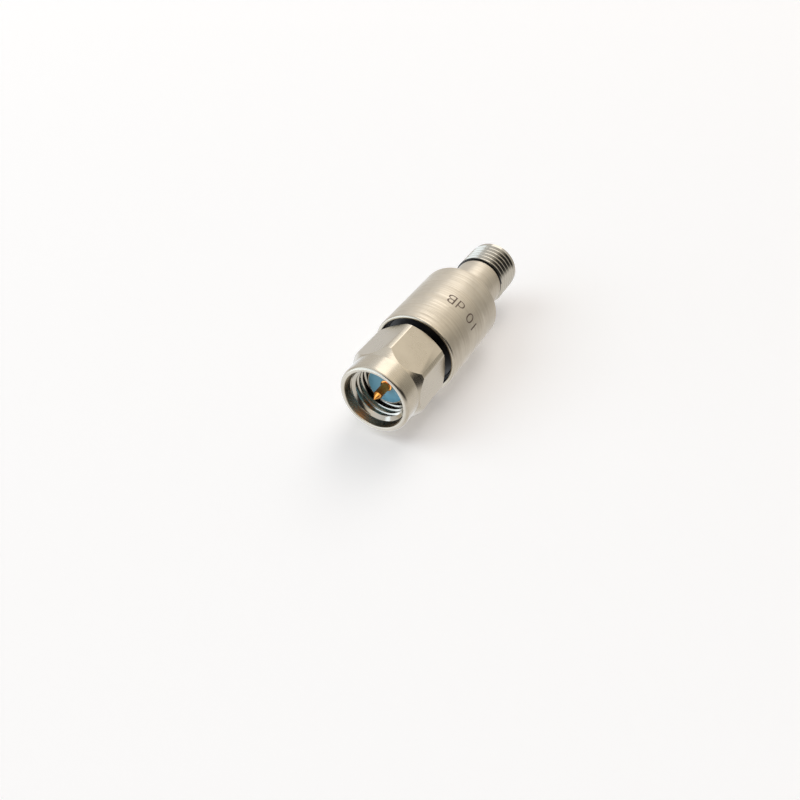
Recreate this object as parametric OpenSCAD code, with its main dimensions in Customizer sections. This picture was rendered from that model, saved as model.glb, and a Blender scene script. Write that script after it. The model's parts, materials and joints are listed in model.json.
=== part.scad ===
// Coaxial attenuator: a plug with a coupling nut at one end and a threaded jack at the other.
// It stands on the jack's end. Z runs up the axis from jack to plug, and z = 0 is the table.
// Every piece is turned first, measured from the nut's front face, and then stood on the jack's end.

/* [Coupling nut] */
// Width across the nut's flats
nut_af = 8; // [7.6:0.05:9]
// Diameter that the hexagon's corners are turned down to
nut_corner_d = 8.93; // [8.6:0.01:9.2]
// Length of the nut
nut_len = 8.15; // [7.4:0.05:9.5]
// Diameter of the round nose in front of the flats
nut_nose_d = 7.9; // [7.5:0.05:8.4]
// Length of the round nose, up to the cone that leads to the corners
nut_nose_len = 2.3; // [1.8:0.05:2.8]
// Length of the cone from the nose to the corners
nut_cone_len = 0.95; // [0.5:0.05:1.4]
// Rounding of the nose's front edge
nut_nose_round = 0.35; // [0.1:0.05:0.4]
// Diameter of the nut's rear face
nut_rear_d = 7.8; // [7.2:0.05:8.4]
// Length of the chamfer at the nut's rear end
nut_rear_chamfer = 0.45; // [0.2:0.05:0.8]
// Diameter of the flared mouth at the nut's front face
mouth_d = 6.74; // [6.5:0.02:6.9]
// Depth of the flared mouth before the thread
mouth_len = 0.9; // [0.5:0.05:1.3]
// Length of the rear hub that runs on the plug's barrel
nut_hub_len = 2.85; // [2.4:0.05:3.2]
// Length of the thread relief in front of the hub
nut_relief_len = 0.7; // [0.4:0.05:1]

/* [Coaxial interface] */
// Outside diameter of the coupling thread
thread_d = 6.35; // [6:0.05:6.7]
// Threads to the inch
thread_tpi = 36; // [32:1:40]
// Bore of the nut's thread over its crests
thread_bore_d = 5.66; // [5.6:0.02:5.8]
// Diameter of the dielectric beads
bead_d = 4.13; // [3.9:0.01:4.2]
// Outside diameter of the plug's thin mating edge
plug_edge_d = 4.58; // [4.5:0.01:4.7]
// Diameter of the centre conductor
conductor_d = 1.27; // [1.15:0.01:1.4]
// Diameter of the mating pin
pin_d = 0.92; // [0.8:0.01:1]
// Bore of the jack's socket contact
socket_d = 0.95; // [0.9:0.01:1]
// Bore of the air line around the centre conductor
air_line_d = 2.92; // [2.6:0.02:3.2]

/* [Plug] */
// Depth of the plug's reference plane behind the nut's front face
plug_depth = 2.6; // [2.5:0.05:3]
// How far the pin stands out of the reference plane
pin_reach = 2.4; // [1.9:0.05:2.4]
// Length of the pin's cone tip
pin_cone_len = 0.7; // [0.4:0.05:1]
// Diameter of the barrel that the nut turns on
barrel_d = 5.5; // [5.3:0.05:5.55]
// Length of the plug's dielectric bead
plug_bead_len = 5.4; // [4:0.1:6.4]
// Length of the plug's flange in the sleeve
plug_flange_len = 2.3; // [1.6:0.1:2.8]

/* [Sleeve] */
// Outside diameter of the sleeve
sleeve_d = 9.6; // [9.4:0.05:11]
// Wall of the sleeve around the flanges
sleeve_wall = 0.6; // [0.45:0.05:0.9]
// Length of the sleeve
sleeve_len = 11.25; // [10.5:0.05:14]
// Wall of the sleeve's front lip
lip_wall = 0.37; // [0.25:0.01:0.4]
// Depth of the recess behind the nut
recess_len = 1.25; // [0.8:0.05:1.6]
// Rounding of the sleeve's outer edges
sleeve_round = 0.2; // [0.05:0.01:0.22]
// Gap between the nut and the sleeve
nut_gap = 0.5; // [0.3:0.05:0.8]

/* [Jack] */
// Diameter of the neck
neck_d = 5.96; // [5.6:0.02:6.2]
// Length of the neck between sleeve and undercut
neck_len = 5.5; // [3:0.1:8]
// Diameter of the undercut between neck and thread
undercut_d = 5.4; // [5.2:0.02:5.5]
// Width of the undercut
undercut_len = 0.3; // [0.2:0.05:0.6]
// Length of the thread with its plain end
thread_len = 4.3; // [3.8:0.1:7]
// Least length of the plain end in front of the thread
plain_end_len = 0.7; // [0.4:0.05:1]
// Chamfer at the jack's end
thread_chamfer = 0.25; // [0.1:0.05:0.3]
// Diameter of the counterbore that takes the mating plug
counterbore_d = 4.62; // [4.6:0.01:4.8]
// Depth of the counterbore
counterbore_len = 1.93; // [1.7:0.01:2.1]
// Length of the jack's dielectric bead
jack_bead_len = 5.5; // [4:0.1:6.4]
// Depth of the socket's bore
socket_len = 2.6; // [2.4:0.05:3]
// Length of the slots between the socket's fingers
slot_len = 2; // [1.4:0.05:2.2]
// Width of the slots between the socket's fingers
slot_w = 0.15; // [0.1:0.01:0.16]

/* [Attenuator card] */
// Length of the ceramic card
chip_len = 3.8; // [3:0.1:4.4]
// Width of the ceramic card
chip_w = 4.2; // [3.4:0.1:5]
// Thickness of the ceramic card
chip_t = 0.38; // [0.25:0.01:0.5]
// Free length between the card and each flange
chip_end_gap = 0.4; // [0.2:0.05:0.6]
// Width of the open channel along the card
channel_w = 2.6; // [2:0.1:3]
// Height of the open channel on each side of the card's middle
channel_h = 1.3; // [1:0.05:1.8]
// Length of the card that each fork grips
fork_grip = 0.7; // [0.4:0.05:1]

/* [Fits] */
// Radial running clearance of the nut on the barrel
run_clear = 0.05; // [0.02:0.01:0.1]
// Clearance of pieces that are pressed or clamped together
seat_clear = 0.01; // [0.005:0.005:0.02]
// Radial clearance of the flared mouth around the mating thread, where it is narrowest
mouth_clear = 0.02; // [0.01:0.005:0.06]
// How far the snap ring reaches into each of its two grooves
ring_catch = 0.28; // [0.2:0.01:0.3]
// Width of the snap ring along the axis
ring_w = 0.5; // [0.4:0.05:0.6]
// Distance from the nut's rear face to the middle of the snap ring
ring_back = 1.4; // [1.1:0.05:1.6]
// Opening of the snap ring
ring_gap = 1.6; // [1:0.1:2.4]

/* [Hidden] */
$fn = 96;
steel = [0.73, 0.69, 0.62];
gold = [0.85, 0.58, 0.22];
blue = [0.42, 0.6, 0.7];
bronze = [0.62, 0.44, 0.24];
brass = [0.76, 0.62, 0.3];
ceramic = [0.9, 0.89, 0.85];
// Small edge breaks and faces that every turned piece shares
edge = 0.1;
// Side and end play of the snap ring in the barrel's groove
ring_float = 0.1;
// How far the barrel stands out of the nut's hub into the thread relief
shoulder_set = 0.2;
// Overrun of every cut past the face that it opens
cut = 1;
// Radius of the pin's blunt tip
tip_r = 0.1;
// Collar that keeps each conductor from sliding in its bead
collar_step = 0.25;
collar_len = 0.8;
// Depth of the socket's mouth behind the jack's reference plane
socket_set = 0.05;

// Coupling thread of sixty degrees, drawn as rings: pitch, flats on the crests and in the roots, and depth
thread_pitch = 25.4 / thread_tpi;
crest_flat = 0.3 * thread_pitch;
root_flat = thread_pitch / 8;
thread_flank = (thread_pitch - crest_flat - root_flat) / 2;
thread_depth = thread_flank / tan(30);

// Stations along the axis, from the nut's front face
sleeve_s = nut_len + nut_gap;
sleeve_end = sleeve_s + sleeve_len;
undercut_s = sleeve_end + neck_len;
thread_s = undercut_s + undercut_len;
total_len = thread_s + thread_len;
plug_flange_s = sleeve_s + recess_len;
cavity_s = plug_flange_s + plug_flange_len;
cavity_len = chip_len + 2 * chip_end_gap;
cavity_end = cavity_s + cavity_len;
chip_s = cavity_s + chip_end_gap;
chip_end = chip_s + chip_len;
hub_s = nut_len - nut_hub_len;
shoulder_s = hub_s - shoulder_set;
ring_s = nut_len - ring_back - ring_w / 2;
plug_bead_end = plug_depth + plug_bead_len;
jack_ref = total_len - counterbore_len;
jack_bead_s = jack_ref - jack_bead_len;
socket_s = jack_ref - socket_set;

// Radii that fits share
sleeve_bore_r = sleeve_d / 2 - sleeve_wall;
lip_bore_r = sleeve_d / 2 - lip_wall;
flange_r = sleeve_bore_r - seat_clear;
hub_r = barrel_d / 2 + run_clear;
ring_in_r = barrel_d / 2 - ring_catch;
ring_out_r = hub_r + ring_catch;
throat_r = thread_d / 2 + mouth_clear;

// Stands a turned piece on the jack's end, with corners of the hexagon to the front and to the rear
module stand()
    translate([0, 0, total_len])
        rotate([180, 0, 90])
            children();

// Half section of a plain turned length with rounded outer edges
module rounded_section(r, from, to, round) {
    polygon([[0, from], [r - round, from], [r - round, from + round], [r, from + round],
             [r, to - round], [r - round, to - round], [r - round, to], [0, to]]);
    for (s = [from + round, to - round])
        translate([r - round, s]) circle(round);
}

// Points of the thread's grooves in a half section, from crest to root and back
function grooves(crest_r, root_r, from, count) =
    [for (i = [0 : count - 1])
        let (s = from + crest_flat + i * thread_pitch)
            each [[crest_r, s], [root_r, s + thread_flank],
                  [root_r, s + thread_flank + root_flat], [crest_r, s + 2 * thread_flank + root_flat]]];

// Outside of the nut as it leaves the lathe, before the flats are cut
module nut_blank() {
    nose_r = nut_nose_d / 2;
    corner_r = nut_corner_d / 2;
    cone_s = nut_nose_len + nut_cone_len;
    rotate_extrude() {
        polygon([[0, 0], [nose_r - nut_nose_round, 0], [nose_r - nut_nose_round, nut_nose_round],
                 [nose_r, nut_nose_round], [nose_r, nut_nose_len], [corner_r, cone_s],
                 [corner_r, nut_len - nut_rear_chamfer], [nut_rear_d / 2, nut_len], [0, nut_len]]);
        translate([nose_r - nut_nose_round, nut_nose_round]) circle(nut_nose_round);
    }
}

// Inside of the nut: flared mouth, thread, thread relief, hub bore and the snap ring's groove
module nut_bore() {
    thread_r = thread_bore_d / 2;
    mouth_r = mouth_d / 2;
    lead_end = mouth_len + throat_r - thread_r;
    relief_s = hub_s - nut_relief_len;
    relief_r = thread_r + thread_depth + run_clear;
    count = floor((relief_s - lead_end - crest_flat) / thread_pitch);
    groove_r = ring_out_r + seat_clear;
    rotate_extrude()
        polygon(concat([[0, -cut], [mouth_r + edge + cut, -cut], [mouth_r, edge], [throat_r, mouth_len],
                        [thread_r, lead_end]],
                       grooves(thread_r, thread_r + thread_depth, lead_end, count),
                       [[thread_r, relief_s], [relief_r, relief_s], [relief_r, hub_s], [hub_r, hub_s],
                        [hub_r, ring_s - seat_clear], [groove_r, ring_s - seat_clear],
                        [groove_r, ring_s + ring_w + seat_clear], [hub_r, ring_s + ring_w + seat_clear],
                        [hub_r, nut_len + cut], [0, nut_len + cut]]));
}

module coupling_nut()
    color(steel) stand()
        difference() {
            intersection() {
                nut_blank();
                translate([0, 0, -cut])
                    cylinder(d = nut_af / cos(30), h = nut_len + 2 * cut, $fn = 6);
            }
            nut_bore();
        }

module snap_ring()
    color(bronze) stand()
        translate([0, 0, ring_s])
            difference() {
                cylinder(r = ring_out_r, h = ring_w);
                translate([0, 0, -cut]) cylinder(r = ring_in_r, h = ring_w + 2 * cut);
                translate([-ring_out_r - cut, -ring_gap / 2, -cut])
                    cube([ring_out_r + cut, ring_gap, ring_w + 2 * cut]);
            }

// Outer conductor of the plug: mating edge, barrel with the ring's groove, and flange in the sleeve
module plug_shell() {
    bead_r = bead_d / 2;
    edge_r = plug_edge_d / 2;
    barrel_r = barrel_d / 2;
    groove_r = ring_in_r - ring_float;
    groove_s = ring_s - ring_float;
    groove_end = ring_s + ring_w + ring_float;
    color(steel) stand()
        rotate_extrude()
            polygon([[bead_r, plug_depth], [edge_r - edge, plug_depth], [edge_r, plug_depth + edge],
                     [edge_r, shoulder_s], [barrel_r - edge, shoulder_s], [barrel_r, shoulder_s + edge],
                     [barrel_r, groove_s], [groove_r, groove_s], [groove_r, groove_end],
                     [barrel_r, groove_end], [barrel_r, plug_flange_s], [flange_r - edge, plug_flange_s],
                     [flange_r, plug_flange_s + edge], [flange_r, cavity_s], [air_line_d / 2, cavity_s],
                     [air_line_d / 2, plug_bead_end], [bead_r, plug_bead_end]]);
}

// Collar of a conductor, centred in its bead, and the room for it in the bead
module collar(middle, clear) {
    len = collar_len + 2 * clear;
    translate([0, 0, middle - len / 2])
        cylinder(d = conductor_d + 2 * collar_step + 2 * clear, h = len);
}

// Rod of a conductor between two stations, and the room for it in the bead
module rod(d, from, to, clear = 0)
    translate([0, 0, from])
        cylinder(d = d + 2 * clear, h = to - from);

// Slot in a conductor's end that takes the card
module fork_slot(from, len)
    translate([-chip_t / 2 - seat_clear, -conductor_d, from])
        cube([chip_t + 2 * seat_clear, 2 * conductor_d, len]);

// Dielectric with the room for its conductor and the conductor's collar
module bead(from, len) {
    difference() {
        rod(bead_d - 2 * seat_clear, from, from + len);
        rod(conductor_d, from - cut, from + len + cut, seat_clear);
        collar(from + len / 2, seat_clear);
    }
}

module plug_bead()
    color(blue) stand()
        bead(plug_depth, plug_bead_len - seat_clear);

module plug_pin() {
    tip_s = plug_depth - pin_reach;
    cone_s = tip_s + pin_cone_len;
    pin_end = chip_s + fork_grip;
    color(gold) stand()
        difference() {
            union() {
                rotate_extrude()
                    polygon([[0, tip_s], [tip_r, tip_s], [pin_d / 2, cone_s],
                             [pin_d / 2, plug_depth + edge], [0, plug_depth + edge]]);
                rod(conductor_d, plug_depth, pin_end);
                collar(plug_depth + (plug_bead_len - seat_clear) / 2, 0);
            }
            fork_slot(chip_s - seat_clear, fork_grip + cut);
        }
}

module body_sleeve()
    color(steel) stand()
        difference() {
            rotate_extrude()
                rounded_section(sleeve_d / 2, sleeve_s, sleeve_end, sleeve_round);
            translate([0, 0, sleeve_s - cut])
                cylinder(r = sleeve_bore_r, h = sleeve_len + 2 * cut);
            translate([0, 0, sleeve_s - cut])
                cylinder(r = lip_bore_r, h = recess_len + cut);
        }

// One of the two half-round blocks that clamp the card: side 1 is behind it, side -1 in front of it
module carrier_half(side)
    difference() {
        intersection() {
            translate([0, 0, cavity_s + seat_clear])
                cylinder(r = flange_r, h = cavity_len - 2 * seat_clear);
            translate([side > 0 ? 0 : -sleeve_d, -sleeve_d / 2, cavity_s])
                cube([sleeve_d, sleeve_d, cavity_len]);
        }
        translate([-channel_h, -channel_w / 2, cavity_s - cut])
            cube([2 * channel_h, channel_w, cavity_len + 2 * cut]);
        translate([-chip_t / 2 - seat_clear, -chip_w / 2 - seat_clear, chip_s - seat_clear])
            cube([chip_t + 2 * seat_clear, chip_w + 2 * seat_clear, chip_len + 2 * seat_clear]);
    }

module carrier_rear() color(brass) stand() carrier_half(1);

module carrier_front() color(brass) stand() carrier_half(-1);

module attenuator_chip()
    color(ceramic) stand()
        translate([-chip_t / 2, -chip_w / 2, chip_s])
            cube([chip_t, chip_w, chip_len]);

// Outer conductor of the jack: flange in the sleeve, neck, undercut and thread
module jack_shell() {
    neck_r = neck_d / 2;
    undercut_r = undercut_d / 2;
    thread_r = thread_d / 2;
    count = floor((thread_len - plain_end_len) / thread_pitch);
    color(steel) stand()
        rotate_extrude()
            polygon(concat([[air_line_d / 2, cavity_end], [flange_r - edge, cavity_end],
                            [flange_r, cavity_end + edge], [flange_r, sleeve_end - edge],
                            [flange_r - edge, sleeve_end], [neck_r, sleeve_end], [neck_r, undercut_s],
                            [undercut_r, undercut_s], [undercut_r, thread_s], [thread_r, thread_s]],
                           grooves(thread_r, thread_r - thread_depth, thread_s, count),
                           [[thread_r, total_len - thread_chamfer], [thread_r - thread_chamfer, total_len],
                            [counterbore_d / 2 + edge, total_len], [counterbore_d / 2, total_len - edge],
                            [counterbore_d / 2, jack_ref], [bead_d / 2, jack_ref],
                            [bead_d / 2, jack_bead_s], [air_line_d / 2, jack_bead_s]]));
}

module jack_bead()
    color(blue) stand()
        bead(jack_bead_s + seat_clear, jack_bead_len - seat_clear);

// Centre contact of the jack: a socket with four fingers, a collar in the bead, and a fork on the card
module jack_contact() {
    fork_s = chip_end - fork_grip;
    color(gold) stand()
        difference() {
            union() {
                rod(conductor_d, fork_s, socket_s);
                collar(jack_bead_s + seat_clear + (jack_bead_len - seat_clear) / 2, 0);
            }
            rod(socket_d, socket_s - socket_len, socket_s + cut);
            for (turn = [45, 135])
                rotate(turn)
                    translate([-conductor_d, -slot_w / 2, socket_s - slot_len])
                        cube([2 * conductor_d, slot_w, slot_len + cut]);
            fork_slot(fork_s - cut, fork_grip + cut + seat_clear);
        }
}

coupling_nut();
snap_ring();
plug_shell();
plug_bead();
plug_pin();
body_sleeve();
carrier_rear();
carrier_front();
attenuator_chip();
jack_shell();
jack_bead();
jack_contact();
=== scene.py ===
"""Dresses the coaxial attenuator: turned steel with cut threads, gold contacts and blue dielectric beads."""
import json
import math

import bmesh
import bpy
from mathutils import Euler, Matrix, Vector


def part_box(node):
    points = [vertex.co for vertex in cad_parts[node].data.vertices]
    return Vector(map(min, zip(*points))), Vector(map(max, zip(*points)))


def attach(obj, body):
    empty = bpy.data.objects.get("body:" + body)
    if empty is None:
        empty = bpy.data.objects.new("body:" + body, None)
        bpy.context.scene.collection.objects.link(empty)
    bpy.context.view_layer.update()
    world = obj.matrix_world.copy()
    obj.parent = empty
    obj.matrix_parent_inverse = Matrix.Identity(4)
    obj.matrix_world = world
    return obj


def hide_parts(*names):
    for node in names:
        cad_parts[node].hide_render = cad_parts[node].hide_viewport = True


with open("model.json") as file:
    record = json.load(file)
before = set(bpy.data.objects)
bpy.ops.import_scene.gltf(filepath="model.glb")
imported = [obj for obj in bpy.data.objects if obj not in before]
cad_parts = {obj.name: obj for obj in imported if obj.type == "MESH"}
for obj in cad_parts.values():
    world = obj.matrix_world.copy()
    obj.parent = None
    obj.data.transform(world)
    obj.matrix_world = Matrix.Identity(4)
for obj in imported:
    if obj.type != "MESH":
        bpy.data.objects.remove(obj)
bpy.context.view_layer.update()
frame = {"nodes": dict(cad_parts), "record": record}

# Lengths are in millimetres up to the moment a piece is made, and the export is in metres
MM = 0.001
TURN = 2 * math.pi
RING_STEPS = 192
AXIS = Vector((0, 0, 1))
CENTRE = Vector((0, 0, 0))
SHARP_ANGLE = math.radians(28)


def levels(node):
    """Lowest and highest point of a solid along the axis."""
    low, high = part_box(node)
    return low.z / MM, high.z / MM


def radius(node):
    """Largest radius of a solid, from its width across the X axis."""
    low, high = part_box(node)
    return (high.x - low.x) / 2 / MM


def mount_radius(name):
    """Radius of one of the record's round mounts."""
    found = [m for m in frame["record"]["mounts"] if m["name"] == name]
    return found[0]["dims"]["r_mm"]


# Sizes that the solids give
NUT_REAR, NUT_TOP = levels("coupling_nut")
SLEEVE_REAR, SLEEVE_FRONT = levels("body_sleeve")
SLEEVE_R = radius("body_sleeve")
PLUG_REAR, PLUG_FACE = levels("plug_shell")
JACK_FRONT = levels("jack_shell")[1]
FLANGE_R = radius("plug_shell")
PIN_REAR, PIN_TIP = levels("plug_pin")
PLUG_BEAD_REAR = levels("plug_bead")[0]
JACK_BEAD_FACE, JACK_BEAD_REAR = levels("jack_bead")
SOCKET_FACE, SOCKET_REAR = levels("jack_contact")
BEAD_R = radius("plug_bead")
COLLAR_R = radius("plug_pin")
THREAD_R = mount_radius("jack_thread")
COUNTERBORE_R = mount_radius("jack_counterbore")
SOCKET_R = mount_radius("jack_socket")
PIN_R = mount_radius("plug_pin")
PLUG_EDGE_R = mount_radius("plug_mating_edge")

# Sizes of the turned forms
EDGE = 0.1
FLAT_R = 4.0
CORNER_R = 4.465
NOSE_R = 3.95
NOSE_LEN = 2.3
CONE_LEN = 0.95
NOSE_ROUND = 0.35
REAR_FACE_R = 3.9
REAR_CHAMFER = 0.45
MOUTH_R = 3.37
THROAT_R = 3.195
THROAT_LEDGE = 0.01
MOUTH_LEN = 0.9
RELIEF_LEN = 0.7
RELIEF_R = 3.231
HUB_LEN = 2.85
HUB_R = 2.8
RING_LOW = 1.14
RING_HIGH = 1.66
RING_OUT_R = 3.09
BARREL_R = 2.75
BARREL_OUT = 0.2
GROOVE_R = 2.37
GROOVE_LOW = 1.05
GROOVE_HIGH = 1.75
PLUG_FLANGE_LEN = 2.3
AIR_LINE_R = 1.46
BORE_R = 2.065
LIP_BORE_R = 4.43
SLEEVE_BORE_R = 4.2
RECESS_LEN = 1.25
SLEEVE_ROUND = 0.2
NECK_R = 2.98
UNDERCUT_R = 2.7
UNDERCUT_LEN = 0.3
THREAD_LEN = 4.3
PLAIN_END = 0.7
RUN_OUT_SLOPE = 1.5
JACK_THREAD_START = 3 * TURN / 8
END_CHAMFER = 0.25
COUNTERBORE_LEN = 1.93
CONDUCTOR_R = 0.635
CONE_TIP_R = 0.06
PIN_CONE_LEN = 0.7
COLLAR_LEN = 0.8
FIT = 0.01
FORK_LEN = 0.7
FORK_WIDTH = 0.4
SOCKET_DEPTH = 2.6
SLOT_DEPTH = 2.0
SLOT_WIDTH = 0.15
FINGER_EDGE = 0.05

# The coupling thread, right-handed, 36 to the inch
PITCH = 25.4 / 36
JACK_CREST_PART = 0.16
JACK_ROOT_PART = 0.2
NUT_CREST_PART = 0.3
NUT_ROOT_PART = 1 / 8
THREAD_DEPTH = 0.351
THREAD_POINTS = 4
JACK_ROOT_R = THREAD_R - THREAD_DEPTH
NUT_CREST_R = 2.83
NUT_ROOT_R = NUT_CREST_R + THREAD_DEPTH

# The value marked around the sleeve
MARK_VALUE = "10 dB"
MARK_SIZE = 2.15
MARK_THIN = 0.025
MARK_HEIGHT = 15.85
MARK_ANGLE = math.radians(226)
MARK_LIFT = 0.002
MARK_DEPTH = 0.02
MARK_STEP = 0.08


def ring_radius(vert):
    """Distance of a vertex from the axis."""
    return math.hypot(vert.co.x, vert.co.y)


def set_ring(vert, r, z):
    """Moves a vertex to a radius and a height, at the angle that it has."""
    scale = r / ring_radius(vert)
    vert.co = (vert.co.x * scale, vert.co.y * scale, z)


def turn(bm, section, closed=True):
    """Turns a half section of (radius, height) points about the axis."""
    verts = [bm.verts.new((r, 0, z)) for r, z in section]
    pairs = list(zip(verts, verts[1:]))
    if closed:
        pairs.append((verts[-1], verts[0]))
    edges = [bm.edges.new(pair) for pair in pairs]
    bmesh.ops.spin(bm, geom=verts + edges, cent=CENTRE, axis=AXIS, angle=TURN,
                   steps=RING_STEPS, use_merge=True)
    bmesh.ops.remove_doubles(bm, verts=bm.verts[:], dist=0.001)


def arc(centre_r, centre_z, r, start, end, steps=6):
    """Points of a rounded edge in a half section, by angle from the radial direction."""
    angles = [math.radians(start + (end - start) * k / steps) for k in range(steps + 1)]
    return [(centre_r + r * math.cos(a), centre_z + r * math.sin(a)) for a in angles]


def soften(bm, width, where, segments=3):
    """Rounds the sharp ring edges that where(radius, height) picks."""
    picked = []
    for edge in bm.edges:
        if len(edge.link_faces) != 2 or edge.calc_face_angle() < SHARP_ANGLE:
            continue
        middle = (edge.verts[0].co + edge.verts[1].co) / 2
        if where(math.hypot(middle.x, middle.y), middle.z):
            picked.append(edge)
    bmesh.ops.bevel(bm, geom=picked, offset=width, offset_type="OFFSET", segments=segments,
                    profile=0.5, affect="EDGES", clamp_overlap=True, material=-1)


def thread_section(crest_r, root_r, crest_part, root_part):
    """One pitch of a sixty degree thread as (radius, rise) points, root first."""
    flank = (1 - crest_part - root_part) / 2
    corners = [(root_r, 0), (root_r, root_part), (crest_r, root_part + flank),
               (crest_r, root_part + flank + crest_part), (root_r, 1)]
    points = [(root_r, 0)]
    for (r0, t0), (r1, t1) in zip(corners, corners[1:]):
        for k in range(1, THREAD_POINTS + 1):
            part = k / THREAD_POINTS
            points.append((r0 + (r1 - r0) * part, (t0 + (t1 - t0) * part) * PITCH))
    return points


def wind_thread(bm, section, low, high):
    """Winds a thread section up the axis as a right-hand helix and trims it between two heights."""
    start = low - 2 * PITCH
    turns = math.ceil((high - low) / PITCH) + 4
    verts = [bm.verts.new((r, 0, start + rise)) for r, rise in section]
    edges = [bm.edges.new(pair) for pair in zip(verts, verts[1:])]
    bmesh.ops.spin(bm, geom=verts + edges, cent=CENTRE, axis=AXIS, dvec=AXIS * (PITCH / RING_STEPS),
                   angle=TURN, steps=RING_STEPS, use_merge=False)
    first_turn = bm.verts[:] + bm.edges[:] + bm.faces[:]
    for k in range(1, turns):
        copied = bmesh.ops.duplicate(bm, geom=first_turn)["geom"]
        bmesh.ops.translate(bm, verts=[v for v in copied if isinstance(v, bmesh.types.BMVert)], vec=AXIS * PITCH * k)
    bmesh.ops.remove_doubles(bm, verts=bm.verts[:], dist=0.001)
    for height, outward in ((low, -AXIS), (high, AXIS)):
        everything = bm.verts[:] + bm.edges[:] + bm.faces[:]
        bmesh.ops.bisect_plane(bm, geom=everything, dist=0.0005, plane_co=AXIS * height,
                               plane_no=outward, clear_outer=True)


def end_loop(bm, height):
    """Open edges of a trimmed thread at one height."""
    return [e for e in bm.edges if e.is_boundary and all(abs(v.co.z - height) < 0.002 for v in e.verts)]


def carry(bm, loop, stations):
    """Draws an open ring of edges on through (radius, height) stations and returns the last ring."""
    for r, z in stations:
        drawn = bmesh.ops.extrude_edge_only(bm, edges=loop)["geom"]
        for vert in drawn:
            if isinstance(vert, bmesh.types.BMVert):
                set_ring(vert, r, z)
        loop = [e for e in drawn if isinstance(e, bmesh.types.BMEdge)]
    return loop


def cut_slot(bm, width, floor, side):
    """Cuts a slot along X through the end of a rod or tube; side is 1 for an upper end and -1 for a lower one."""
    for co, no in ((AXIS * floor, AXIS), (Vector((0, width / 2, 0)), Vector((0, 1, 0))),
                   (Vector((0, -width / 2, 0)), Vector((0, 1, 0)))):
        near = [f for f in bm.faces if any((v.co.z - floor) * side > 0.001 for v in f.verts)]
        parts = {g for f in near for g in (f, *f.edges, *f.verts)}
        bmesh.ops.bisect_plane(bm, geom=list(parts), dist=0.0005, plane_co=co, plane_no=no)
    doomed = []
    for face in bm.faces:
        middle = face.calc_center_median()
        if (middle.z - floor) * side > 0 and abs(middle.y) < width / 2:
            doomed.append(face)
    bmesh.ops.delete(bm, geom=doomed, context="FACES")
    for y in (-width / 2, width / 2):
        ends = [v for v in bm.verts if v.is_boundary and abs(v.co.y - y) < 0.002 and abs(v.co.z - floor) < 0.002]
        ends.sort(key=lambda v: v.co.x)
        for pair in zip(ends[::2], ends[1::2]):
            bm.edges.new(pair)
    bmesh.ops.holes_fill(bm, edges=[e for e in bm.edges if e.is_boundary or e.is_wire], sides=0)


def refinish(bm, index, where):
    """Gives another of the piece's finishes to the faces that where(radius, height) picks."""
    for face in bm.faces:
        middle = face.calc_center_median()
        if where(math.hypot(middle.x, middle.y), middle.z):
            face.material_index = index


def make_piece(name, bm, body, slot, nodes, *finishes):
    """Brings a modelled piece to metres, gives it its finishes, and puts it in the frame."""
    bmesh.ops.recalc_face_normals(bm, faces=bm.faces[:])
    bmesh.ops.scale(bm, vec=(MM, MM, MM), verts=bm.verts[:])
    mesh = bpy.data.meshes.new(name)
    bm.to_mesh(mesh)
    bm.free()
    mesh.shade_smooth()
    mesh.set_sharp_from_angle(angle=SHARP_ANGLE)
    for finish in finishes:
        mesh.materials.append(finish)
    piece = bpy.data.objects.new(name, mesh)
    bpy.context.collection.objects.link(piece)
    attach(piece, body)
    if nodes:
        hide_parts(*nodes)
    return piece


def new_finish(name, colour, metallic, roughness):
    """A material with its plain values set on the shader itself."""
    finish = bpy.data.materials.new(name)
    finish.use_nodes = True
    shader = finish.node_tree.nodes["Principled BSDF"]
    shader.inputs["Base Color"].default_value = (*colour, 1)
    shader.inputs["Metallic"].default_value = metallic
    shader.inputs["Roughness"].default_value = roughness
    return finish, finish.node_tree, shader


def add_node(tree, kind, settings=None, **values):
    """Adds a node, with its settings and the values of its named sockets."""
    node = tree.nodes.new(kind)
    for key, value in (settings or {}).items():
        setattr(node, key, value)
    for key, value in values.items():
        node.inputs[key.replace("_", " ")].default_value = value
    return node


def turned_space(tree, drift):
    """Object space squeezed around the axis, so that a pattern runs in rings that break off slowly."""
    place = add_node(tree, "ShaderNodeTexCoord").outputs["Object"]
    flat = add_node(tree, "ShaderNodeVectorMath", {"operation": "MULTIPLY"})
    flat.inputs[1].default_value = (1, 1, 0)
    reach = add_node(tree, "ShaderNodeVectorMath", {"operation": "LENGTH"})
    outward = add_node(tree, "ShaderNodeCombineXYZ")
    squeezed = add_node(tree, "ShaderNodeVectorMath", {"operation": "MULTIPLY"})
    squeezed.inputs[1].default_value = (drift, drift, 1)
    space = add_node(tree, "ShaderNodeVectorMath", {"operation": "ADD"})
    tree.links.new(place, flat.inputs[0])
    tree.links.new(flat.outputs[0], reach.inputs[0])
    tree.links.new(reach.outputs["Value"], outward.inputs["X"])
    tree.links.new(place, squeezed.inputs[0])
    tree.links.new(squeezed.outputs[0], space.inputs[0])
    tree.links.new(outward.outputs[0], space.inputs[1])
    return space.outputs[0]


def noise(tree, space, scale, detail=3.0):
    """A noise pattern over a space in metres."""
    pattern = add_node(tree, "ShaderNodeTexNoise", Scale=scale, Detail=detail, Roughness=0.6)
    tree.links.new(space, pattern.inputs["Vector"])
    return pattern.outputs["Fac"]


def spread(tree, value, low, high, from_low=0.3, from_high=0.7):
    """Maps a pattern to a range of values."""
    spread_node = add_node(tree, "ShaderNodeMapRange", From_Min=from_low, From_Max=from_high,
                           To_Min=low, To_Max=high)
    tree.links.new(value, spread_node.inputs["Value"])
    return spread_node.outputs["Result"]


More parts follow.
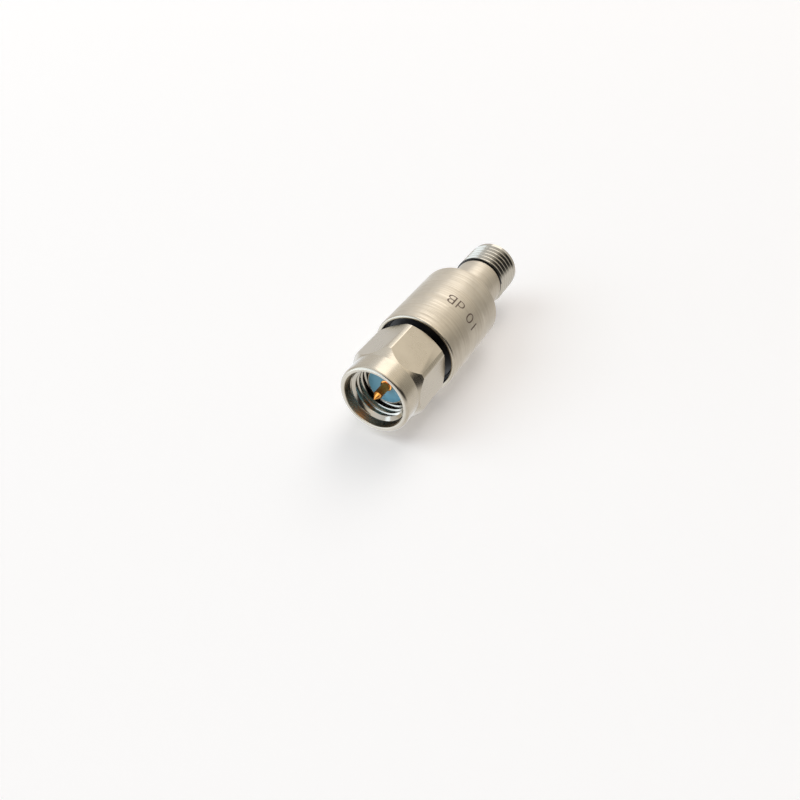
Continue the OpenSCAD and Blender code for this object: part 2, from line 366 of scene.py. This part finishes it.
def two_tone(tree, value, dark, light):
    """Runs from one colour to another along a pattern."""
    ramp = add_node(tree, "ShaderNodeValToRGB")
    ramp.color_ramp.elements[0].position = 0.3
    ramp.color_ramp.elements[0].color = (*dark, 1)
    ramp.color_ramp.elements[1].position = 0.7
    ramp.color_ramp.elements[1].color = (*light, 1)
    tree.links.new(value, ramp.inputs["Fac"])
    return ramp.outputs["Color"]


def add_bump(tree, shader, layers):
    """Stacks bump layers of (pattern, depth in metres) on a shader."""
    under = None
    for pattern, depth in layers:
        bump = add_node(tree, "ShaderNodeBump", Strength=1.0, Distance=depth)
        tree.links.new(pattern, bump.inputs["Height"])
        if under:
            tree.links.new(under, bump.inputs["Normal"])
        under = bump.outputs["Normal"]
    tree.links.new(under, shader.inputs["Normal"])


def shade(colour, factor):
    """A colour made lighter or darker."""
    return tuple(min(1.0, c * factor) for c in colour)


def metal(name, colour, roughness, mark_depth, drift=0.03, contrast=0.06, broad=1.5, brushed=0.0, grain=2500,
          gloss=(0.85, 1.2)):
    """Turned metal: tool marks around the axis in three sizes, and slight changes of tone and gloss."""
    finish, tree, shader = new_finish(name, colour, 1.0, roughness)
    space = turned_space(tree, drift)
    place = add_node(tree, "ShaderNodeTexCoord").outputs["Object"]
    if brushed:
        around = add_node(tree, "ShaderNodeVectorMath", {"operation": "CROSS_PRODUCT"})
        around.inputs[0].default_value = AXIS
        tree.links.new(place, around.inputs[1])
        tree.links.new(around.outputs[0], shader.inputs["Tangent"])
        shader.inputs["Anisotropic"].default_value = brushed
        shader.inputs["Anisotropic Rotation"].default_value = 0.25
    wide = noise(tree, space, grain, detail=1.0)
    coarse = noise(tree, space, 9000)
    fine = noise(tree, space, 30000)
    cloud = noise(tree, place, 500)
    tone = two_tone(tree, cloud, shade(colour, 1 - contrast), shade(colour, 1 + contrast))
    tree.links.new(tone, shader.inputs["Base Color"])
    lines = wide if brushed else coarse
    dull = spread(tree, lines, roughness * gloss[0], roughness * gloss[1])
    tree.links.new(dull, shader.inputs["Roughness"])
    add_bump(tree, shader, [(wide, mark_depth * broad), (coarse, mark_depth), (fine, mark_depth * 0.35)])
    return finish


def milled_metal(name, colour, roughness, mark_depth):
    """Flats of the drawn bar: an even satin with faint lines along the axis."""
    finish, tree, shader = new_finish(name, colour, 1.0, roughness)
    place = add_node(tree, "ShaderNodeTexCoord").outputs["Object"]
    drawn = add_node(tree, "ShaderNodeVectorMath", {"operation": "MULTIPLY"})
    drawn.inputs[1].default_value = (1, 1, 0.05)
    tree.links.new(place, drawn.inputs[0])
    grain = noise(tree, drawn.outputs[0], 16000)
    cloud = noise(tree, place, 600)
    tone = two_tone(tree, cloud, shade(colour, 0.95), shade(colour, 1.04))
    tree.links.new(tone, shader.inputs["Base Color"])
    tree.links.new(spread(tree, cloud, roughness * 0.9, roughness * 1.15), shader.inputs["Roughness"])
    add_bump(tree, shader, [(grain, mark_depth)])
    return finish


def bead_plastic(name, colour):
    """Fluoropolymer: smooth, a little waxy, with faint tool rings."""
    finish, tree, shader = new_finish(name, colour, 0.0, 0.38)
    shader.inputs["Subsurface Weight"].default_value = 0.0
    space = turned_space(tree, 0.02)
    rings = noise(tree, space, 8000)
    cloud = noise(tree, add_node(tree, "ShaderNodeTexCoord").outputs["Object"], 900)
    tree.links.new(two_tone(tree, cloud, shade(colour, 0.93), shade(colour, 1.06)), shader.inputs["Base Color"])
    add_bump(tree, shader, [(rings, 1.5e-6)])
    return finish


def card_ceramic(name, colour):
    """White alumina: matt and finely grained."""
    finish, tree, shader = new_finish(name, colour, 0.0, 0.6)
    place = add_node(tree, "ShaderNodeTexCoord").outputs["Object"]
    grain = noise(tree, place, 20000)
    tree.links.new(two_tone(tree, grain, shade(colour, 0.92), colour), shader.inputs["Base Color"])
    add_bump(tree, shader, [(grain, 1.0e-6)])
    return finish


STEEL = (0.56, 0.50, 0.40)
BRUSHED_STEEL = metal("brushed_steel", (0.62, 0.555, 0.45), 0.5, 5.0e-6, drift=0.018, broad=1.1,
                      brushed=0.4, grain=8500, gloss=(0.55, 1.45))
TURNED_STEEL = metal("turned_steel", STEEL, 0.25, 1.0e-6)
MILLED_STEEL = milled_metal("milled_steel", STEEL, 0.28, 0.4e-6)
THREAD_STEEL = metal("thread_steel", (0.55, 0.51, 0.43), 0.15, 0.4e-6)
# Nearly black steel as painted shade: it darkens the gap behind the nut, the recess in the sleeve's lip and the jack's
# undercut, where shade falls
SHADE_PAINTED_STEEL = metal("recess_painted_shade_steel", (0.11, 0.108, 0.105), 0.4, 0.8e-6)
GOLD = metal("contact_gold", (0.97, 0.44, 0.11), 0.1, 0.3e-6, contrast=0.03)
# Satin gold for the pin's shaft: the higher roughness is a finish, and its darker, redder colour than the tip's gold is
# painted shade for the dark nut interior that the shaft mirrors
SATIN_GOLD_PAINTED_SHADE = metal("contact_gold_satin_painted_shade", (0.97, 0.34, 0.075), 0.32, 0.6e-6, contrast=0.03)
BLUE = bead_plastic("blue_fluoropolymer", (0.24, 0.58, 0.74))
MARK_BROWN = card_ceramic("mark_brown", (0.13, 0.085, 0.06))
BRONZE = metal("spring_bronze", (0.62, 0.44, 0.24), 0.3, 0.6e-6)
BRASS = metal("carrier_brass", (0.76, 0.62, 0.30), 0.3, 0.8e-6)
CERAMIC = card_ceramic("card_ceramic", (0.90, 0.89, 0.85))


def coupling_nut():
    """The hexagon nut: inside thread first, then its bore and outside, then six flats."""
    bm = bmesh.new()
    entry = NUT_TOP - MOUTH_LEN
    hub_top = NUT_REAR + HUB_LEN
    relief = hub_top + RELIEF_LEN
    section = thread_section(NUT_CREST_R, NUT_ROOT_R, NUT_CREST_PART, NUT_ROOT_PART)
    wind_thread(bm, section, relief, entry)
    for vert in bm.verts:
        lead_in = THROAT_R - (entry - vert.co.z)
        set_ring(vert, max(ring_radius(vert), lead_in), vert.co.z)
    ring_low = NUT_REAR + RING_LOW
    ring_high = NUT_REAR + RING_HIGH
    inside = [(RELIEF_R, relief), (RELIEF_R, hub_top), (HUB_R, hub_top), (HUB_R, ring_high), (RING_OUT_R, ring_high),
              (RING_OUT_R, ring_low), (HUB_R, ring_low), (HUB_R, NUT_REAR + EDGE), (HUB_R + EDGE, NUT_REAR),
              (REAR_FACE_R, NUT_REAR), (CORNER_R, NUT_REAR + REAR_CHAMFER)]
    rear = carry(bm, end_loop(bm, relief), inside)
    nose_edge = arc(NOSE_R - NOSE_ROUND, NUT_TOP - NOSE_ROUND, NOSE_ROUND, 90, 0, 8)
    outside = [(THROAT_R + THROAT_LEDGE, entry), (MOUTH_R, NUT_TOP - EDGE), *arc(MOUTH_R + EDGE, NUT_TOP - EDGE, EDGE, 180, 90, 4)[1:], *nose_edge,
               (NOSE_R, NUT_TOP - NOSE_LEN), (CORNER_R, NUT_TOP - NOSE_LEN - CONE_LEN)]
    front = carry(bm, end_loop(bm, entry), outside)
    bmesh.ops.bridge_loops(bm, edges=rear + front)
    bmesh.ops.remove_doubles(bm, verts=bm.verts[:], dist=0.0008)
    flats = []
    for k in range(6):
        facing = Vector((math.cos(k * TURN / 6), math.sin(k * TURN / 6), 0))
        everything = bm.verts[:] + bm.edges[:] + bm.faces[:]
        cut = bmesh.ops.bisect_plane(bm, geom=everything, dist=0.0005, plane_co=facing * FLAT_R,
                                     plane_no=facing, clear_outer=True)["geom_cut"]
        edges = [e for e in cut if isinstance(e, bmesh.types.BMEdge)]
        flats += bmesh.ops.contextual_create(bm, geom=edges)["faces"]
    for flat in flats:
        flat.material_index = 1
    refinish(bm, 2, lambda r, z: hub_top < z < entry and r < MOUTH_R)
    return make_piece("nut_steel", bm, "nut", "stainless", ["coupling_nut"],
                      TURNED_STEEL, MILLED_STEEL, THREAD_STEEL)


def plug_shell():
    """Outer conductor of the plug: mating edge, barrel with the ring's groove, and flange."""
    bm = bmesh.new()
    shoulder = NUT_REAR + HUB_LEN + BARREL_OUT
    flange_face = PLUG_REAR + PLUG_FLANGE_LEN
    turn(bm, [(BORE_R, PLUG_FACE), (PLUG_EDGE_R - EDGE, PLUG_FACE), (PLUG_EDGE_R, PLUG_FACE - EDGE),
              (PLUG_EDGE_R, shoulder), (BARREL_R - EDGE, shoulder), (BARREL_R, shoulder - EDGE),
              (BARREL_R, NUT_REAR + GROOVE_HIGH), (GROOVE_R, NUT_REAR + GROOVE_HIGH),
              (GROOVE_R, NUT_REAR + GROOVE_LOW), (BARREL_R, NUT_REAR + GROOVE_LOW), (BARREL_R, flange_face),
              (FLANGE_R - EDGE, flange_face), (FLANGE_R, flange_face - EDGE), (FLANGE_R, PLUG_REAR),
              (AIR_LINE_R, PLUG_REAR), (AIR_LINE_R, PLUG_BEAD_REAR - FIT), (BORE_R, PLUG_BEAD_REAR - FIT)])
    soften(bm, 0.03, lambda r, z: z > PLUG_FACE - 2 * EDGE)
    # Painted shade: the barrel and flange face in the gap behind the nut get the nearly black steel
    refinish(bm, 1, lambda r, z: flange_face - EDGE < z < NUT_REAR + GROOVE_LOW and r > BARREL_R - EDGE)
    return make_piece("plug_outer_conductor", bm, "attenuator", "stainless", ["plug_shell"],
                      THREAD_STEEL, SHADE_PAINTED_STEEL)


def bead(name, node, low, high, face):
    """A dielectric bead with the room for its conductor and the conductor's collar."""
    bm = bmesh.new()
    hole = CONDUCTOR_R + FIT
    room = COLLAR_R + FIT
    middle = (low + high) / 2
    half = COLLAR_LEN / 2 + FIT
    turn(bm, [(BEAD_R, low), (BEAD_R, high), (hole, high), (hole, middle + half), (room, middle + half),
              (room, middle - half), (hole, middle - half), (hole, low)])
    soften(bm, 0.04, lambda r, z: abs(z - face) < 0.01)
    return make_piece(name, bm, "attenuator", "dielectric", [node], BLUE)


def plug_pin():
    """The gold pin: cone tip, shaft, shoulder at the bead's face, collar, and fork on the card."""
    bm = bmesh.new()
    middle = (PLUG_BEAD_REAR + PLUG_FACE) / 2
    half = COLLAR_LEN / 2
    tip = arc(0, PIN_TIP - CONE_TIP_R, CONE_TIP_R, 90, 30, 4)
    turn(bm, [*tip, (PIN_R, PIN_TIP - PIN_CONE_LEN), (PIN_R, PLUG_FACE), (CONDUCTOR_R, PLUG_FACE),
              (CONDUCTOR_R, middle + half), (COLLAR_R, middle + half), (COLLAR_R, middle - half),
              (CONDUCTOR_R, middle - half), (CONDUCTOR_R, PIN_REAR), (0, PIN_REAR)], closed=False)
    soften(bm, 0.035, lambda r, z: z > PLUG_FACE - 0.01 and z < PIN_TIP - 0.2)
    cut_slot(bm, FORK_WIDTH, PIN_REAR + FORK_LEN, -1)
    # The shaft gets the satin gold, whose darker, redder tint is painted shade
    refinish(bm, 1, lambda r, z: PLUG_FACE + EDGE < z < PIN_TIP - PIN_CONE_LEN - EDGE / 2)
    return make_piece("plug_pin_gold", bm, "attenuator", "gold", ["plug_pin"], GOLD, SATIN_GOLD_PAINTED_SHADE)


def body_sleeve():
    """The round housing with its thin front lip."""
    bm = bmesh.new()
    r = SLEEVE_R - SLEEVE_ROUND
    recess = SLEEVE_FRONT - RECESS_LEN
    turn(bm, [(LIP_BORE_R, SLEEVE_FRONT), *arc(r, SLEEVE_FRONT - SLEEVE_ROUND, SLEEVE_ROUND, 90, 0),
              *arc(r, SLEEVE_REAR + SLEEVE_ROUND, SLEEVE_ROUND, 0, -90), (SLEEVE_BORE_R, SLEEVE_REAR),
              (SLEEVE_BORE_R, recess), (LIP_BORE_R, recess)])
    soften(bm, 0.05, lambda rr, z: z > SLEEVE_FRONT - 0.01 and rr < LIP_BORE_R + 0.01)
    # Painted shade: the recess inside the sleeve's lip gets the nearly black steel
    refinish(bm, 1, lambda rr, z: rr < LIP_BORE_R + 0.01 and recess - EDGE < z < SLEEVE_FRONT - EDGE)
    refinish(bm, 2, lambda rr, z: z > SLEEVE_FRONT - SLEEVE_ROUND and rr > LIP_BORE_R + 0.01)
    return make_piece("sleeve_steel", bm, "attenuator", "stainless", ["body_sleeve"],
                      BRUSHED_STEEL, SHADE_PAINTED_STEEL, TURNED_STEEL)


def sleeve_mark():
    """A generic value in thin strokes around the sleeve, its head towards the plug."""
    words = bpy.data.curves.new("value_text", "FONT")
    words.body = MARK_VALUE
    words.size = MARK_SIZE
    words.offset = -MARK_THIN
    words.align_x = "CENTER"
    words.align_y = "CENTER"
    holder = bpy.data.objects.new("value_text", words)
    flat = bpy.data.meshes.new_from_object(holder)
    bm = bmesh.new()
    bm.from_mesh(flat)
    bpy.data.objects.remove(holder)
    bpy.data.curves.remove(words)
    bpy.data.meshes.remove(flat)
    half = math.ceil(max(abs(v.co.x) for v in bm.verts) / MARK_STEP)
    for k in range(-half, half + 1):
        everything = bm.verts[:] + bm.edges[:] + bm.faces[:]
        bmesh.ops.bisect_plane(bm, geom=everything, dist=0.0001, plane_co=(k * MARK_STEP, 0, 0), plane_no=(1, 0, 0))
    bmesh.ops.remove_doubles(bm, verts=bm.verts[:], dist=0.0005)
    drawn = bmesh.ops.extrude_face_region(bm, geom=bm.faces[:], use_keep_orig=True)["geom"]
    bmesh.ops.translate(bm, verts=[v for v in drawn if isinstance(v, bmesh.types.BMVert)], vec=(0, 0, MARK_DEPTH))
    for vert in bm.verts:
        angle = MARK_ANGLE + vert.co.x / SLEEVE_R
        r = SLEEVE_R + MARK_LIFT - MARK_DEPTH + vert.co.z
        vert.co = (r * math.cos(angle), r * math.sin(angle), MARK_HEIGHT + vert.co.y)
    return make_piece("sleeve_mark", bm, "attenuator", "stainless", [], MARK_BROWN)


def jack_shell():
    """Outer conductor of the jack: outside thread first, then its bore, flange, neck and undercut."""
    bm = bmesh.new()
    section = thread_section(THREAD_R, JACK_ROOT_R, JACK_CREST_PART, JACK_ROOT_PART)
    wind_thread(bm, section, PLAIN_END, THREAD_LEN)
    bmesh.ops.rotate(bm, verts=bm.verts[:], cent=CENTRE,
                     matrix=Matrix.Rotation(JACK_THREAD_START, 3, "Z"))
    for vert in bm.verts:
        run_out = THREAD_R - RUN_OUT_SLOPE * (vert.co.z - PLAIN_END)
        set_ring(vert, max(ring_radius(vert), run_out), vert.co.z)
    bore = JACK_BEAD_REAR
    end = [(THREAD_R, END_CHAMFER), (THREAD_R - END_CHAMFER, 0), (COUNTERBORE_R + EDGE, 0),
           (COUNTERBORE_R, EDGE), (COUNTERBORE_R, COUNTERBORE_LEN), (BORE_R, COUNTERBORE_LEN), (BORE_R, bore),
           (AIR_LINE_R, bore), (AIR_LINE_R, JACK_FRONT), (FLANGE_R - EDGE, JACK_FRONT),
           (FLANGE_R, JACK_FRONT - EDGE), (FLANGE_R, SLEEVE_REAR + EDGE), (FLANGE_R - EDGE, SLEEVE_REAR),
           (NECK_R, SLEEVE_REAR)]
    flange = carry(bm, end_loop(bm, PLAIN_END), end)
    neck_end = THREAD_LEN + UNDERCUT_LEN
    rear = [(UNDERCUT_R, THREAD_LEN), (UNDERCUT_R, neck_end), (NECK_R - EDGE / 2, neck_end),
            (NECK_R, neck_end + EDGE / 2)]
    neck = carry(bm, end_loop(bm, THREAD_LEN), rear)
    bmesh.ops.bridge_loops(bm, edges=flange + neck)
    refinish(bm, 1, lambda r, z: neck_end < z < SLEEVE_REAR + EDGE and r > BORE_R + EDGE)
    # Painted shade: the undercut behind the jack's thread and the thread's end face get the nearly black steel
    refinish(bm, 2, lambda r, z: THREAD_LEN - EDGE / 2 < z < neck_end + EDGE / 4 and BORE_R < r < NECK_R)
    return make_piece("jack_outer_conductor", bm, "attenuator", "stainless", ["jack_shell"],
                      THREAD_STEEL, BRUSHED_STEEL, SHADE_PAINTED_STEEL)


def jack_contact():
    """The gold socket: a rod with a collar, four spring fingers at its mouth and a fork on the card."""
    bm = bmesh.new()
    middle = (JACK_BEAD_FACE + JACK_BEAD_REAR) / 2
    half = COLLAR_LEN / 2
    floor = SOCKET_FACE + SOCKET_DEPTH
    mouth = SOCKET_FACE + FINGER_EDGE
    turn(bm, [(0, SOCKET_REAR), (CONDUCTOR_R, SOCKET_REAR), (CONDUCTOR_R, middle + half), (COLLAR_R, middle + half),
              (COLLAR_R, middle - half), (CONDUCTOR_R, middle - half), (CONDUCTOR_R, mouth),
              (CONDUCTOR_R - FINGER_EDGE, SOCKET_FACE), (SOCKET_R + FINGER_EDGE, SOCKET_FACE), (SOCKET_R, mouth),
              (SOCKET_R, floor), (0, floor)], closed=False)
    cut_slot(bm, FORK_WIDTH, SOCKET_REAR - FORK_LEN, 1)
    for angle in (TURN / 8, TURN / 4):
        bmesh.ops.rotate(bm, verts=bm.verts[:], cent=CENTRE, matrix=Matrix.Rotation(angle, 3, "Z"))
        cut_slot(bm, SLOT_WIDTH, SOCKET_FACE + SLOT_DEPTH, -1)
    bmesh.ops.rotate(bm, verts=bm.verts[:], cent=CENTRE, matrix=Matrix.Rotation(-3 * TURN / 8, 3, "Z"))
    return make_piece("jack_socket_gold", bm, "attenuator", "gold", ["jack_contact"], GOLD)


coupling_nut()
plug_shell()
bead("plug_bead_blue", "plug_bead", PLUG_BEAD_REAR, PLUG_FACE, PLUG_FACE)
plug_pin()
body_sleeve()
sleeve_mark()
jack_shell()
bead("jack_bead_blue", "jack_bead", JACK_BEAD_FACE, JACK_BEAD_REAR, JACK_BEAD_FACE)
jack_contact()

# Pieces inside the sleeve keep their solids
for node, finish in (("snap_ring", BRONZE), ("carrier_rear", BRASS), ("carrier_front", BRASS),
                     ("attenuator_chip", CERAMIC)):
    solid = frame["nodes"][node]
    solid.data.materials.clear()
    solid.data.materials.append(finish)

# The picture's table: the part lies on its sleeve there, so the table runs along its side in the part's frame.
# In the table's own frame X runs from plug to jack, Z is up from the table, and the origin is under the middle
TABLE = Matrix(((0, 1, 0, 0), (0, 0, -1, SLEEVE_R * MM), (-1, 0, 0, NUT_TOP / 2 * MM), (0, 0, 0, 1)))


def table_top():
    """A pale table that is seen from above only, and that takes the part's shadow."""
    bm = bmesh.new()
    bmesh.ops.create_grid(bm, x_segments=1, y_segments=1, size=1.5)
    bmesh.ops.transform(bm, matrix=TABLE, verts=bm.verts[:])
    mesh = bpy.data.meshes.new("table_top")
    bm.to_mesh(mesh)
    bm.free()
    paper = bpy.data.materials.new("table_paper")
    paper.use_nodes = True
    tree = paper.node_tree
    tree.nodes.remove(tree.nodes["Principled BSDF"])
    matt = add_node(tree, "ShaderNodeBsdfDiffuse", Color=(0.93, 0.925, 0.925, 1))
    pale = add_node(tree, "ShaderNodeEmission", Color=(*TABLE_TINT, 1), Strength=TABLE_LIFT)
    white = add_node(tree, "ShaderNodeAddShader")
    clear = add_node(tree, "ShaderNodeBsdfTransparent")
    side = add_node(tree, "ShaderNodeNewGeometry")
    mix = add_node(tree, "ShaderNodeMixShader")
    tree.links.new(side.outputs["Backfacing"], mix.inputs["Fac"])
    tree.links.new(matt.outputs[0], white.inputs[0])
    tree.links.new(pale.outputs[0], white.inputs[1])
    tree.links.new(white.outputs[0], mix.inputs[1])
    tree.links.new(clear.outputs[0], mix.inputs[2])
    tree.links.new(mix.outputs[0], tree.nodes["Material Output"].inputs["Surface"])
    paper.cycles.emission_sampling = "NONE"
    mesh.materials.append(paper)
    top = bpy.data.objects.new("table_top", mesh)
    bpy.context.collection.objects.link(top)
    top.visible_diffuse = False
    top.visible_glossy = False
    top.visible_transmission = False
    top.visible_shadow = False


def lamp(name, place, size, level, colour, mirrored=True):
    """A soft lamp that looks at the part; level is how bright its face is, and 1 is white."""
    data = bpy.data.lights.new(name, "AREA")
    data.shape = "RECTANGLE"
    data.size = size[0]
    data.size_y = size[1]
    data.energy = level * math.pi * size[0] * size[1]
    data.color = colour
    light = bpy.data.objects.new(name, data)
    bpy.context.collection.objects.link(light)
    spot = Vector(place)
    aim = (-spot).to_track_quat("-Z", "Y").to_matrix().to_4x4()
    light.matrix_world = TABLE @ Matrix.Translation(spot) @ aim
    light.visible_camera = False
    light.visible_glossy = mirrored


def heading_along(tree, direction):
    """How far a ray from the part heads in one direction of the table's frame, from -1 to 1."""
    heading = add_node(tree, "ShaderNodeTexCoord")
    share = add_node(tree, "ShaderNodeVectorMath", {"operation": "DOT_PRODUCT"})
    share.inputs[1].default_value = (TABLE.to_3x3() @ Vector(direction)).normalized()
    tree.links.new(heading.outputs["Generated"], share.inputs[0])
    return share.outputs["Value"]


def mirrored_room(tree):
    """What the metal mirrors: a pale room and table, cooler on the left, with darker walls on the right."""
    across = spread(tree, heading_along(tree, (0, 1, 0)), 0, 1, -1, 1)
    upwards = spread(tree, heading_along(tree, (0, 0, 1)), 0, 1, -0.2, 0.2)
    pale = add_node(tree, "ShaderNodeMixShader")
    tree.links.new(upwards, pale.inputs["Fac"])
    for socket, (right, left) in ((1, MIRRORED_TABLE), (2, MIRRORED_CEILING)):
        part = add_node(tree, "ShaderNodeBackground", Strength=1.0)
        tree.links.new(two_tone(tree, across, right, left), part.inputs["Color"])
        tree.links.new(part.outputs[0], pale.inputs[socket])
    walls = add_node(tree, "ShaderNodeBackground", Strength=1.0)
    ramp = add_node(tree, "ShaderNodeValToRGB")
    stops = ramp.color_ramp.elements
    while len(stops) < len(WALLS):
        stops.new(1.0)
    for stop, (position, colour) in zip(stops, WALLS):
        stop.position = position
        stop.color = (*colour, 1)
    tree.links.new(spread(tree, heading_along(tree, WALL_SIDE), 0, 1, -1, 1), ramp.inputs["Fac"])
    tree.links.new(ramp.outputs["Color"], walls.inputs["Color"])
    height = add_node(tree, "ShaderNodeMath", {"operation": "SUBTRACT"})
    height.inputs[1].default_value = WALL_MIDDLE
    tree.links.new(heading_along(tree, (0, 0, 1)), height.inputs[0])
    off_middle = add_node(tree, "ShaderNodeMath", {"operation": "ABSOLUTE"})
    tree.links.new(height.outputs[0], off_middle.inputs[0])
    band = spread(tree, off_middle.outputs[0], 1, 0, WALL_HALF, WALL_HALF + WALL_FADE)
    room = add_node(tree, "ShaderNodeMixShader")
    tree.links.new(band, room.inputs["Fac"])
    tree.links.new(pale.outputs[0], room.inputs[1])
    tree.links.new(walls.outputs[0], room.inputs[2])
    return room.outputs[0]


def surroundings():
    """White for the camera, the room for what metal mirrors, and a dim even light from all sides."""
    world = bpy.data.worlds.new("room")
    bpy.context.scene.world = world
    world.use_nodes = True
    tree = world.node_tree
    dim = tree.nodes["Background"]
    dim.inputs["Color"].default_value = (*ROOM_TINT, 1)
    dim.inputs["Strength"].default_value = ROOM_LEVEL
    white = add_node(tree, "ShaderNodeBackground", Color=(*BACKDROP, 1), Strength=1.0)
    path = add_node(tree, "ShaderNodeLightPath")
    shown = add_node(tree, "ShaderNodeMath", {"operation": "MAXIMUM"})
    tree.links.new(path.outputs["Is Glossy Ray"], shown.inputs[0])
    tree.links.new(path.outputs["Is Transmission Ray"], shown.inputs[1])
    in_metal = add_node(tree, "ShaderNodeMixShader")
    tree.links.new(shown.outputs[0], in_metal.inputs["Fac"])
    tree.links.new(dim.outputs[0], in_metal.inputs[1])
    tree.links.new(mirrored_room(tree), in_metal.inputs[2])
    seen = add_node(tree, "ShaderNodeMixShader")
    tree.links.new(path.outputs["Is Camera Ray"], seen.inputs["Fac"])
    tree.links.new(in_metal.outputs[0], seen.inputs[1])
    tree.links.new(white.outputs[0], seen.inputs[2])
    tree.links.new(seen.outputs[0], tree.nodes["World Output"].inputs["Surface"])


def camera():
    """The photograph's view, from the plug's side and above the table."""
    data = bpy.data.cameras.new("photo_camera")
    data.lens = 32.1
    data.clip_start = 0.002
    data.clip_end = 20
    view = bpy.data.objects.new("photo_camera", data)
    bpy.context.collection.objects.link(view)
    place = Vector((-60.77, -28.30, 51.05)) * MM
    angle = Euler((math.radians(49.33), 0, math.radians(-61.13)))
    view.matrix_world = TABLE @ Matrix.Translation(place) @ angle.to_matrix().to_4x4()
    bpy.context.scene.camera = view


TABLE_TINT = (1.0, 0.985, 0.985)
TABLE_LIFT = 0.19
ROOM_TINT = (1.0, 0.93, 0.87)
ROOM_LEVEL = 0.34
BACKDROP = (0.95, 0.945, 0.945)

# What only reflections show, right and left; the walls go by how far round to the dark corner a ray heads
MIRRORED_CEILING = ((1.06, 0.99, 0.88), (0.93, 0.96, 1.02))
MIRRORED_TABLE = ((0.86, 0.85, 0.85), (1.2, 1.28, 1.42))
WALL_SIDE = (-0.64, -0.77, 0)
WALLS = ((0.28, (0.80, 0.80, 0.81)), (0.50, (0.54, 0.52, 0.47)), (0.72, (0.32, 0.31, 0.29)), (0.86, (0.03, 0.03, 0.03)))
WALL_MIDDLE = 0.19
WALL_HALF = 0.24
WALL_FADE = 0.2

table_top()
lamp("ceiling_light", (0.45, 0.075, 1.2), (0.75, 2.4), 1.13, (1.0, 0.97, 0.95))
lamp("window_light", (-1.2, 0.85, 0.12), (1.4, 1.35), 1.5, (0.62, 0.78, 1.0))
lamp("sky_light", (-0.5, 1.0, 1.0), (1.0, 1.0), 2.2, (0.84, 0.95, 1.0), mirrored=False)
lamp("back_light", (1.0, 0.1, 0.9), (0.8, 0.8), 1.2, (1.0, 0.95, 0.9), mirrored=False)
surroundings()
camera()
bpy.context.scene.view_settings.view_transform = "Standard"
